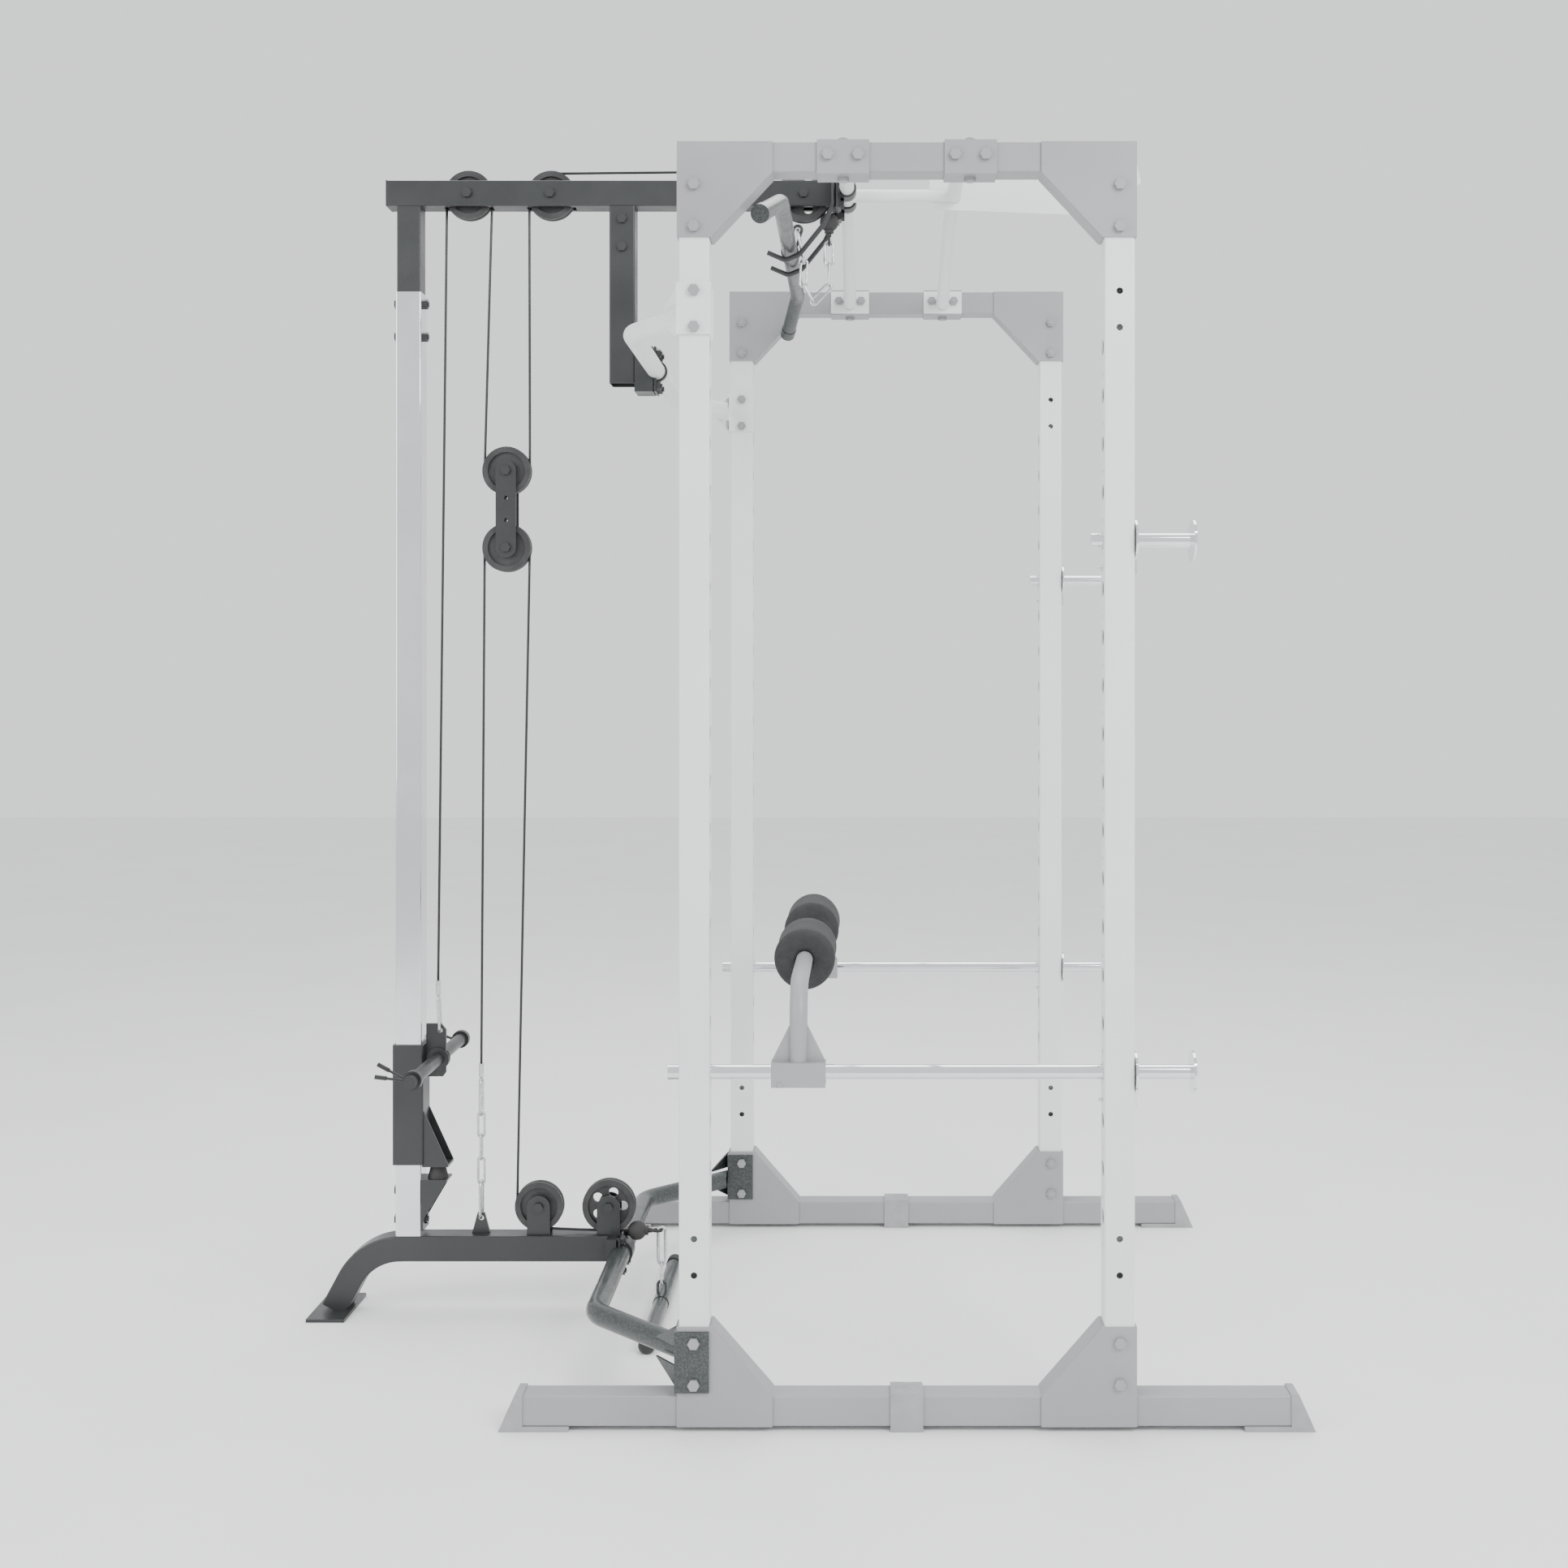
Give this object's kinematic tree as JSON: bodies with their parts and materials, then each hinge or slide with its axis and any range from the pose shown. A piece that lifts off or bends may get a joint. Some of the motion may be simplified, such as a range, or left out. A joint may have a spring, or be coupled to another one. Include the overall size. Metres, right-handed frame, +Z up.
{
  "type": "power cage",
  "caption": "Free-standing strength-training cage with pull-up bars, sliding safety bars, a leg hold-down and a plate-loaded lat and row cable tower.",
  "frame": {"origin": "bottom centre of the bounding box, on the floor", "axes": "+X towards the open front of the cage, +Y to the lifter's left, +Z up"},
  "size_m": [1.819, 1.2408, 2.27],
  "materials": {
    "cage_pale": "satin powder coat",
    "cage_grey": "satin powder coat",
    "attachment_black": "satin powder coat",
    "hammertone": "hammered paint",
    "chrome": "mirror",
    "zinc": "bright zinc",
    "nylon": "moulded",
    "foam": "closed-cell foam skin",
    "cable": "smooth jacket",
    "rubber": "matt"
  },
  "bodies": {
    "root": {"anchor_chain": "zinc", "bar_hooks": "attachment_black", "base_rail_left": "cage_grey", "base_rail_right": "cage_grey", "boom": "attachment_black", "boom_post": "attachment_black", "cable_fixed_runs": "cable", "cage_bolts": "zinc", "clamp_straps": "attachment_black", "header_plate": "cage_pale", "lat_ball_stop": "rubber", "lat_cable_block_runs": "cable", "lat_cable_carriage_run": "cable", "lower_rear_brace": "hammertone", "pull_up_bars": "cage_pale", "pull_up_clamps": "cage_grey", "pulley_axles": "zinc", "rail_feet": "nylon", "row_cable_block_runs": "cable", "stop_bracket": "attachment_black", "stop_bumper": "rubber", "top_rail_left": "cage_grey", "top_rail_right": "cage_grey", "tower_base": "attachment_black", "tower_bolts": "zinc", "tower_column": "chrome", "upper_rear_brace": "cage_pale", "upright_front_left": "cage_pale", "upright_front_right": "cage_pale", "upright_rear_left": "cage_pale", "upright_rear_right": "cage_pale"},
    "carriage": {"carriage_sleeve": "attachment_black", "carriage_liners": "nylon", "weight_horn": "hammertone", "carriage_carabiner": "zinc"},
    "spring_collar_left": {"collar_left": "zinc"},
    "spring_collar_right": {"collar_right": "zinc"},
    "block": {"block_plates": "attachment_black", "block_axles": "zinc", "block_cable_loops": "cable"},
    "block_wheel_upper": {"block_pulley_upper": "nylon"},
    "block_wheel_lower": {"block_pulley_lower": "nylon"},
    "boom_wheel_rear": {"boom_pulley_rear": "nylon"},
    "boom_wheel_middle": {"boom_pulley_middle": "nylon"},
    "boom_wheel_front": {"boom_pulley_front": "nylon"},
    "base_wheel_rear": {"base_pulley_rear": "nylon"},
    "base_wheel_front": {"base_pulley_front": "nylon"},
    "row_pull_handle": {"row_ball_stop": "rubber", "row_cable_lead": "cable", "row_carabiner": "zinc", "row_handle": "hammertone"},
    "lat_pull_bar": {"lat_bar": "hammertone", "lat_chain": "zinc"},
    "safety_left": {"safety_bar_left": "chrome"},
    "safety_right": {"safety_bar_right": "chrome"},
    "holder_left": {"bar_holder_left": "chrome"},
    "holder_right": {"bar_holder_right": "chrome"},
    "hold_down": {"hold_down_frame": "chrome"},
    "roller_left": {"foam_roller_left": "foam"},
    "roller_right": {"foam_roller_right": "foam"}
  },
  "joints": [
    {"name": "row_pull", "type": "slide", "parent": "root", "child": "row_pull_handle", "axis": [1, 0, 0], "range_m": [0, 0.9]},
    {"name": "carriage_lift", "type": "slide", "parent": "root", "child": "carriage", "axis": [0, 0, 1], "range_m": [0, 0.9], "deforming": ["lat_cable_carriage_run"]},
    {"name": "block_drop", "type": "slide", "parent": "root", "child": "block", "axis": [0, 0, -1], "range_m": [0, 0.45], "deforming": ["lat_cable_block_runs", "row_cable_block_runs"]},
    {"name": "boom_rear_spin", "type": "hinge", "parent": "root", "child": "boom_wheel_rear", "pos_m": [-0.6105, 0, 2.19], "axis": [0, 1, 0], "continuous": true},
    {"name": "boom_middle_spin", "type": "hinge", "parent": "root", "child": "boom_wheel_middle", "pos_m": [-0.4485, 0, 2.19], "axis": [0, 1, 0], "continuous": true},
    {"name": "boom_front_spin", "type": "hinge", "parent": "root", "child": "boom_wheel_front", "pos_m": [0.0475, 0, 2.19], "axis": [0, 1, 0], "continuous": true},
    {"name": "block_upper_spin", "type": "hinge", "parent": "block", "child": "block_wheel_upper", "pos_m": [-0.5365, 0, 1.6486], "axis": [0, 1, 0], "continuous": true},
    {"name": "block_lower_spin", "type": "hinge", "parent": "block", "child": "block_wheel_lower", "pos_m": [-0.5365, 0, 1.4977], "axis": [0, 1, 0], "continuous": true},
    {"name": "base_rear_spin", "type": "hinge", "parent": "root", "child": "base_wheel_rear", "pos_m": [-0.4725, 0, 0.204], "axis": [0, 1, 0], "continuous": true},
    {"name": "base_front_spin", "type": "hinge", "parent": "root", "child": "base_wheel_front", "pos_m": [-0.3355, 0, 0.204], "axis": [0, 1, 0], "continuous": true},
    {"name": "lat_bar_swing", "type": "hinge", "parent": "root", "child": "lat_pull_bar", "pos_m": [0.097, 0, 2.097], "axis": [0, 1, 0], "range_deg": [0, 4]},
    {"name": "safety_slide_left", "type": "slide", "parent": "root", "child": "safety_left", "axis": [1, 0, 0], "range_m": [0, 0.8]},
    {"name": "safety_slide_right", "type": "slide", "parent": "root", "child": "safety_right", "axis": [1, 0, 0], "range_m": [0, 0.8]},
    {"name": "holder_slide_left", "type": "slide", "parent": "root", "child": "holder_left", "axis": [1, 0, 0], "range_m": [0, 0.12]},
    {"name": "holder_slide_right", "type": "slide", "parent": "root", "child": "holder_right", "axis": [1, 0, 0], "range_m": [0, 0.12]},
    {"name": "hold_down_slide", "type": "slide", "parent": "root", "child": "hold_down", "axis": [1, 0, 0], "range_m": [-0.06, 0.3]},
    {"name": "roller_spin_left", "type": "hinge", "parent": "hold_down", "child": "roller_left", "pos_m": [0.0585, 0.2, 0.73], "axis": [0, 1, 0], "continuous": true},
    {"name": "roller_spin_right", "type": "hinge", "parent": "hold_down", "child": "roller_right", "pos_m": [0.0585, -0.2, 0.73], "axis": [0, 1, 0], "continuous": true},
    {"name": "collar_slide_left", "type": "slide", "parent": "carriage", "child": "spring_collar_left", "axis": [0, 1, 0], "range_m": [0, 0.08]},
    {"name": "collar_slide_right", "type": "slide", "parent": "carriage", "child": "spring_collar_right", "axis": [0, -1, 0], "range_m": [0, 0.08]}
  ],
  "couplings": [
    {"joint": "carriage_lift", "follows": "row_pull", "ratio": 1},
    {"joint": "block_drop", "follows": "row_pull", "ratio": 0.5},
    {"joint": "boom_rear_spin", "follows": "row_pull", "rad_per_m": 22.47},
    {"joint": "block_upper_spin", "follows": "row_pull", "rad_per_m": -11.24},
    {"joint": "block_lower_spin", "follows": "row_pull", "rad_per_m": 11.24},
    {"joint": "base_rear_spin", "follows": "row_pull", "rad_per_m": -22.47},
    {"joint": "base_front_spin", "follows": "row_pull", "rad_per_m": -20.2},
    {"joint": "boom_front_spin", "follows": "boom_middle_spin", "ratio": 0.899}
  ]
}
